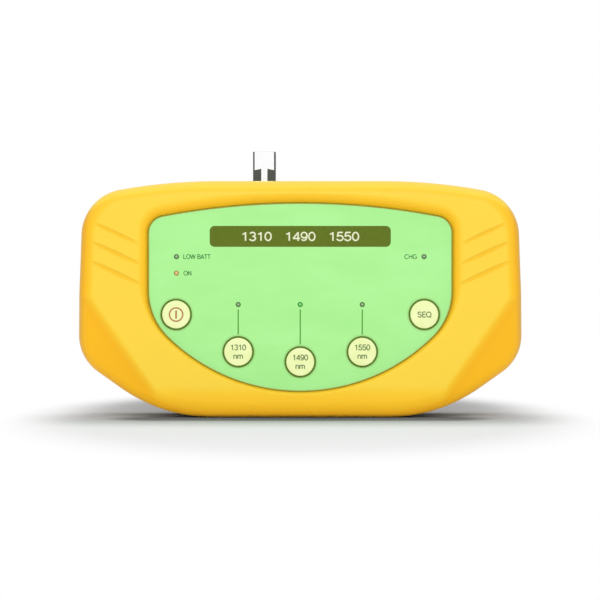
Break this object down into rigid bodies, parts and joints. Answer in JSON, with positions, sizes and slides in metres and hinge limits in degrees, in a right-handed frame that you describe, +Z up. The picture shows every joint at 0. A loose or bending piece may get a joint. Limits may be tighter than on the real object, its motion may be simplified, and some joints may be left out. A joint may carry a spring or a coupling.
{
  "type": "optical light source",
  "caption": "Handheld optical light source: a rounded case that stands on its lower edge, a sunk front panel with round push keys and indicator lights, and a fibre port on the top edge.",
  "frame": {"origin": "middle of the lower standing edge, halfway through the depth of the case", "axes": "+X to the viewer's right as the front is seen, +Z up towards the fibre port, the front panel looks along -Y"},
  "size_m": [0.1812, 0.048, 0.1089],
  "materials": {
    "case_plastic": "moulded ABS with a fine satin grain",
    "overlay_film": "printed polycarbonate film",
    "key_plastic": "moulded keycap, satin",
    "plunger_plastic": "moulded nylon",
    "black_plastic": "moulded plastic",
    "white_plastic": "moulded nylon",
    "port_plastic": "moulded plastic, dark grey",
    "plug_plastic": "moulded plastic",
    "black_rubber": "soft boot",
    "light_off": "clear lens, unlit",
    "light_orange": "clear lens, lit orange",
    "light_green": "clear lens, lit green",
    "board_laminate": "glass-fibre laminate with solder mask",
    "steel": "plain steel",
    "cell_steel": "cell can, weight stated for the whole part",
    "brass": "knurled brass",
    "nickel": "nickel plate",
    "aluminium": "machined",
    "aluminium_can": "drawn can",
    "ferrite": "sintered ferrite",
    "zirconia": "polished ceramic",
    "fibre_jacket": "buffered fibre",
    "sleeve_film": "shrink film",
    "tape_foam": "foam tape",
    "red_wire": "insulated wire",
    "black_wire": "insulated wire"
  },
  "bodies": {
    "case": {"front_shell": "case_plastic", "rear_cover": "case_plastic", "front_overlay": "overlay_film", "tactile_switches": "black_plastic", "low_battery_light": "light_off", "charge_light": "light_off", "light_1310": "light_off", "light_1550": "light_off", "power_light": "light_orange", "light_1490": "light_green", "main_board": "board_laminate", "board_screws": "steel", "case_screws": "steel", "threaded_inserts": "brass", "control_chip": "black_plastic", "driver_chips": "black_plastic", "inductors": "ferrite", "capacitors": "aluminium_can", "battery_header": "white_plastic", "jack_header": "white_plastic", "port_body": "port_plastic", "port_clips": "nickel", "port_latch": "white_plastic", "split_sleeve": "zirconia", "inner_plug": "plug_plastic", "plug_ferrule": "zirconia", "plug_boot": "black_rubber", "laser_1310": "steel", "laser_1490": "steel", "laser_1550": "steel", "laser_clamp": "aluminium", "wavelength_combiner": "steel", "combiner_clips": "white_plastic", "laser_fibres": "fibre_jacket", "output_fibre": "fibre_jacket", "battery_cells": "cell_steel", "battery_sleeve": "sleeve_film", "battery_tape": "tape_foam", "battery_lead_red": "red_wire", "battery_lead_black": "black_wire", "jack_lead_red": "red_wire", "jack_lead_black": "black_wire", "charging_jack": "black_plastic", "jack_pin": "nickel"},
    "power_button": {"power_key": "key_plastic", "power_key_plunger": "plunger_plastic"},
    "button_1310": {"key_1310": "key_plastic", "key_1310_plunger": "plunger_plastic"},
    "button_1490": {"key_1490": "key_plastic", "key_1490_plunger": "plunger_plastic"},
    "button_1550": {"key_1550": "key_plastic", "key_1550_plunger": "plunger_plastic"},
    "sequence_button": {"sequence_key": "key_plastic", "sequence_key_plunger": "plunger_plastic"}
  },
  "joints": [
    {"name": "power_button_press", "type": "slide", "parent": "case", "child": "power_button", "axis": [0, 1, 0], "range_m": [0, 0.0005], "stiffness_N_per_m": 800, "springref_m": -0.0015},
    {"name": "button_1310_press", "type": "slide", "parent": "case", "child": "button_1310", "axis": [0, 1, 0], "range_m": [0, 0.0005], "stiffness_N_per_m": 800, "springref_m": -0.0015},
    {"name": "button_1490_press", "type": "slide", "parent": "case", "child": "button_1490", "axis": [0, 1, 0], "range_m": [0, 0.0005], "stiffness_N_per_m": 800, "springref_m": -0.0015},
    {"name": "button_1550_press", "type": "slide", "parent": "case", "child": "button_1550", "axis": [0, 1, 0], "range_m": [0, 0.0005], "stiffness_N_per_m": 800, "springref_m": -0.0015},
    {"name": "sequence_button_press", "type": "slide", "parent": "case", "child": "sequence_button", "axis": [0, 1, 0], "range_m": [0, 0.0005], "stiffness_N_per_m": 800, "springref_m": -0.0015}
  ]
}
